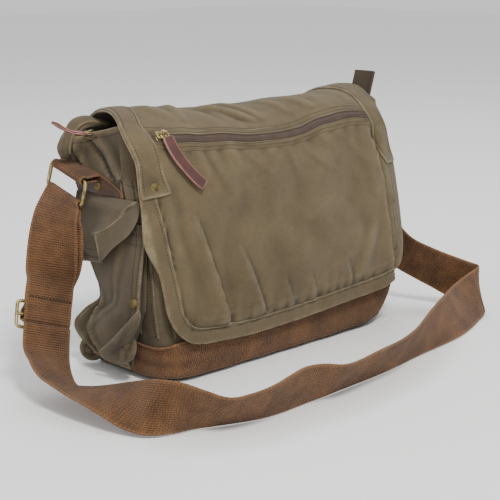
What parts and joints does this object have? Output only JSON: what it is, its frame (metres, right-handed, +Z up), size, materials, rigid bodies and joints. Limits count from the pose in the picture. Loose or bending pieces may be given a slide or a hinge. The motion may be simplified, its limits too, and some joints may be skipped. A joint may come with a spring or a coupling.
{
  "type": "messenger bag",
  "caption": "Soft canvas messenger bag with a zipped flap, bellows side pockets, a webbing base band and a wide shoulder strap on rectangular rings.",
  "frame": {"origin": "middle of the underside of the base panel, on the surface the bag stands on", "axes": "+X to the right along the front as the bag is looked at from the front, +Y from the front towards the back, +Z up"},
  "size_m": [0.5891, 0.3052, 0.2815],
  "materials": {
    "canvas": "worn waxed canvas, plain weave, olive tan",
    "canvas_dark": "worn canvas, plain weave, darker olive",
    "lining": "thin cotton lining",
    "webbing": "heavy cotton webbing, brown, fine rib",
    "webbing_dark": "heavy cotton webbing, dark brown",
    "leather": "oiled leather, red-brown with pale cut edges",
    "leather_dark": "oiled leather, dark brown",
    "brass": "antique brass, matt",
    "zip_tape": "woven zip tape, brown",
    "zip_coil": "nylon coil, dark"
  },
  "bodies": {
    "bag": {"base_panel": "canvas_dark", "front_panel": "canvas", "back_panel": "canvas", "left_side_panel": "canvas_dark", "right_side_panel": "canvas_dark", "base_webbing_band": "webbing", "lining": "lining", "front_mouth_facing": "canvas_dark", "back_mouth_facing": "canvas_dark", "main_zip_tape_front": "zip_tape", "main_zip_tape_back": "zip_tape", "main_zip_end_tab": "canvas_dark", "left_pocket_body": "canvas_dark", "left_pocket_rivet": "brass", "right_pocket_body": "canvas_dark", "right_pocket_rivet": "brass", "left_anchor_loop": "webbing", "left_anchor_patch": "leather_dark", "left_anchor_rivet": "brass", "right_anchor_loop": "webbing", "right_anchor_patch": "leather_dark", "right_anchor_rivet": "brass", "grab_handle": "webbing_dark", "strap_floor_run": "webbing"},
    "flap_top": {"flap_top_panel": "canvas", "left_band_top": "canvas", "right_band_top": "canvas"},
    "flap_front": {"flap_front_panel": "canvas", "flap_lining": "lining", "left_band_front": "canvas", "right_band_front": "canvas", "left_flap_rivet": "brass", "right_flap_rivet": "brass", "flap_zip_tape": "zip_tape", "flap_zip_coil": "zip_coil"},
    "flap_zip_slider": {"flap_zip_slider": "brass"},
    "flap_zip_pull": {"flap_zip_pull": "leather"},
    "main_zip_slider": {"main_zip_slider": "brass"},
    "main_zip_pull": {"main_zip_pull": "leather"},
    "left_pocket_flap": {"left_pocket_flap": "canvas"},
    "right_pocket_flap": {"right_pocket_flap": "canvas"},
    "left_ring": {"left_ring": "brass", "strap_front_layer": "webbing", "strap_back_layer": "webbing"},
    "strap_slider": {"strap_slider_frame": "brass", "strap_sewn_end": "webbing"},
    "right_ring": {"right_ring": "brass", "strap_right_drop": "webbing"}
  },
  "joints": [
    {"name": "flap_hinge", "type": "hinge", "parent": "bag", "child": "flap_top", "pos_m": [0, 0.052, 0.25], "axis": [-1, 0, 0], "range_deg": [0, 105]},
    {"name": "flap_fold", "type": "hinge", "parent": "flap_top", "child": "flap_front", "pos_m": [0, -0.0385, 0.2528], "axis": [-1, 0, 0], "range_deg": [0, 80]},
    {"name": "flap_zip_slide", "type": "slide", "parent": "flap_front", "child": "flap_zip_slider", "axis": [1, 0, 0], "range_m": [0, 0.25]},
    {"name": "flap_zip_pull_swing", "type": "hinge", "parent": "flap_zip_slider", "child": "flap_zip_pull", "pos_m": [-0.141, -0.0555, 0.2468], "axis": [-1, 0, 0], "range_deg": [0, 110]},
    {"name": "main_zip_slide", "type": "slide", "parent": "bag", "child": "main_zip_slider", "axis": [1, 0, 0], "range_m": [0, 0.365]},
    {"name": "main_zip_pull_swing", "type": "hinge", "parent": "main_zip_slider", "child": "main_zip_pull", "pos_m": [-0.2015, 0.014, 0.2464], "axis": [0, 1, 0], "range_deg": [-55, 0]},
    {"name": "left_pocket_flap_hinge", "type": "hinge", "parent": "bag", "child": "left_pocket_flap", "pos_m": [-0.1863, 0, 0.1862], "axis": [0, 1, 0], "range_deg": [0, 12]},
    {"name": "right_pocket_flap_hinge", "type": "hinge", "parent": "bag", "child": "right_pocket_flap", "pos_m": [0.1863, 0, 0.1862], "axis": [0, -1, 0], "range_deg": [0, 12]},
    {"name": "left_ring_pivot", "type": "hinge", "parent": "bag", "child": "left_ring", "pos_m": [-0.211, 0.027, 0.2085], "axis": [0, 0.9651, 0.262], "range_deg": [0, 12]},
    {"name": "right_ring_pivot", "type": "hinge", "parent": "bag", "child": "right_ring", "pos_m": [0.211, 0.027, 0.2085], "axis": [0, -0.9651, -0.262], "range_deg": [0, 12]},
    {"name": "strap_slider_slide", "type": "slide", "parent": "left_ring", "child": "strap_slider", "axis": [0.363, 0.336, 0.8691], "range_m": [0, 0.045], "deforming": ["strap_front_layer", "strap_back_layer"]}
  ]
}
